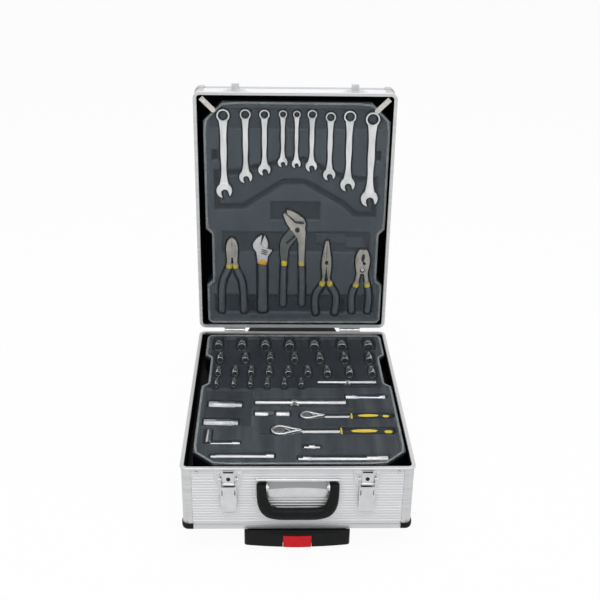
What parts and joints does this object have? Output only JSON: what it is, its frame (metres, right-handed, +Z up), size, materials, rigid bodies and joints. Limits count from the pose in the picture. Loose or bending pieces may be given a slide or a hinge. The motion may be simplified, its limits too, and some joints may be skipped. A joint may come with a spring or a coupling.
{
  "type": "trolley tool case",
  "caption": "Ribbed aluminium trolley tool case with hinged lid, latches, carry handle, pull-out trolley grip, wheels and trays of hand tools.",
  "frame": {"origin": "on the floor, under the centre of the open case's bounding box", "axes": "+X to the case's right seen from the latches, +Y from the latches to the hinges, +Z up with the case lying on its wheels and feet"},
  "size_m": [0.36, 0.5328, 0.6226],
  "materials": {
    "ribbed_aluminium": "ribbed satin",
    "bright_aluminium": "satin",
    "plated_steel": "bright plated",
    "lock_steel": "satin plated",
    "black_plastic": "fine grain",
    "black_lining": "matt",
    "red_plastic": "smooth",
    "rubber": "matt",
    "grey_tray": "formed sheet",
    "dark_tray": "formed sheet",
    "clear_sheet": "clear",
    "tool_steel": "satin chrome"
  },
  "bodies": {
    "base": {"base_front_panel": "ribbed_aluminium", "base_rear_panel": "ribbed_aluminium", "base_side_panels": "ribbed_aluminium", "base_bottom_panel": "ribbed_aluminium", "base_rim_rails": "bright_aluminium", "base_corner_posts": "bright_aluminium", "base_bottom_edges": "bright_aluminium", "trolley_outer_tubes": "bright_aluminium", "hinge_base_leaves": "plated_steel", "hinge_pins": "plated_steel", "latch_plates": "plated_steel", "handle_plate": "plated_steel", "handle_pins": "plated_steel", "base_rivets": "plated_steel", "wheel_axles": "plated_steel", "base_corner_caps": "black_plastic", "trolley_brackets": "black_plastic", "wheel_housings": "black_plastic", "stand_foot": "black_plastic", "tray_ledges": "black_plastic", "base_lining": "black_lining", "rubber_feet": "rubber"},
    "lid": {"lid_top_panel": "ribbed_aluminium", "lid_wall_panels": "ribbed_aluminium", "lid_corner_posts": "bright_aluminium", "lid_top_edges": "bright_aluminium", "lid_rim_rails": "bright_aluminium", "lid_corner_caps": "bright_aluminium", "lid_lining": "black_lining", "hinge_lid_leaves": "plated_steel", "latch_strikes": "plated_steel", "lid_fasteners": "plated_steel", "clip_posts": "black_plastic", "lid_tray": "grey_tray", "lid_tray_cover": "clear_sheet", "combination_wrenches": "tool_steel", "pliers": "tool_steel", "adjustable_wrench": "tool_steel", "tool_grips": "black_plastic"},
    "carry_handle": {"carry_handle": "black_plastic"},
    "left_lever": {"left_latch_lever": "plated_steel"},
    "right_lever": {"right_latch_lever": "plated_steel"},
    "left_claw": {"left_latch_claw": "plated_steel"},
    "right_claw": {"right_latch_claw": "plated_steel"},
    "left_barrel": {"left_lock_barrel": "lock_steel"},
    "right_barrel": {"right_lock_barrel": "lock_steel"},
    "trolley_middle": {"trolley_middle_tubes": "bright_aluminium"},
    "trolley_inner": {"trolley_inner_tubes": "bright_aluminium", "trolley_grip": "black_plastic"},
    "release_button": {"release_button": "red_plastic"},
    "left_wheel": {"left_wheel": "rubber"},
    "right_wheel": {"right_wheel": "rubber"},
    "left_clip": {"left_tray_clip": "plated_steel"},
    "right_clip": {"right_tray_clip": "plated_steel"},
    "base_tray": {"base_tray": "dark_tray", "base_tray_cover": "clear_sheet", "sockets": "tool_steel", "drive_bars": "tool_steel", "ratchets": "tool_steel", "ratchet_grips": "black_plastic"}
  },
  "joints": [
    {"name": "lid_hinge", "type": "hinge", "parent": "base", "child": "lid", "pos_m": [0, 0.21265, 0.1482], "axis": [-1, 0, 0], "range_deg": [-90, 0]},
    {"name": "handle_swing", "type": "hinge", "parent": "base", "child": "carry_handle", "pos_m": [0, -0.25725, 0.117], "axis": [-1, 0, 0], "range_deg": [0, 90]},
    {"name": "left_lever_swing", "type": "hinge", "parent": "base", "child": "left_lever", "pos_m": [-0.106, -0.25375, 0.1295], "axis": [-1, 0, 0], "range_deg": [0, 110]},
    {"name": "left_claw_swing", "type": "hinge", "parent": "left_lever", "child": "left_claw", "pos_m": [-0.106, -0.25325, 0.1205], "axis": [-1, 0, 0], "range_deg": [-110, 0]},
    {"name": "left_lock_turn", "type": "hinge", "parent": "left_claw", "child": "left_barrel", "pos_m": [-0.106, -0.25095, 0.1288], "axis": [0, -1, 0], "range_deg": [0, 90]},
    {"name": "right_lever_swing", "type": "hinge", "parent": "base", "child": "right_lever", "pos_m": [0.106, -0.25375, 0.1295], "axis": [-1, 0, 0], "range_deg": [0, 110]},
    {"name": "right_claw_swing", "type": "hinge", "parent": "right_lever", "child": "right_claw", "pos_m": [0.106, -0.25325, 0.1205], "axis": [-1, 0, 0], "range_deg": [-110, 0]},
    {"name": "right_lock_turn", "type": "hinge", "parent": "right_claw", "child": "right_barrel", "pos_m": [0.106, -0.25095, 0.1288], "axis": [0, -1, 0], "range_deg": [0, 90]},
    {"name": "trolley_middle_slide", "type": "slide", "parent": "base", "child": "trolley_middle", "axis": [0, -1, 0], "range_m": [0, 0.33]},
    {"name": "trolley_inner_slide", "type": "slide", "parent": "trolley_middle", "child": "trolley_inner", "axis": [0, -1, 0], "range_m": [0, 0.33]},
    {"name": "button_press", "type": "slide", "parent": "trolley_inner", "child": "release_button", "axis": [0, 1, 0], "range_m": [0, 0.005], "stiffness_N_per_m": 600},
    {"name": "left_wheel_spin", "type": "hinge", "parent": "base", "child": "left_wheel", "pos_m": [-0.142, 0.23615, 0.025], "axis": [1, 0, 0], "continuous": true},
    {"name": "right_wheel_spin", "type": "hinge", "parent": "base", "child": "right_wheel", "pos_m": [0.142, 0.23615, 0.025], "axis": [1, 0, 0], "continuous": true},
    {"name": "left_clip_turn", "type": "hinge", "parent": "lid", "child": "left_clip", "pos_m": [-0.1612, 0.21835, 0.5959], "axis": [0, -1, 0], "range_deg": [0, 58]},
    {"name": "right_clip_turn", "type": "hinge", "parent": "lid", "child": "right_clip", "pos_m": [0.1612, 0.21835, 0.5959], "axis": [0, 1, 0], "range_deg": [0, 58]},
    {"name": "tray_lift", "type": "slide", "parent": "base", "child": "base_tray", "axis": [0, 0, 1], "range_m": [0, 0.12]}
  ],
  "couplings": [
    {"joint": "left_claw_swing", "follows": "left_lever_swing", "ratio": -1},
    {"joint": "right_claw_swing", "follows": "right_lever_swing", "ratio": -1}
  ]
}
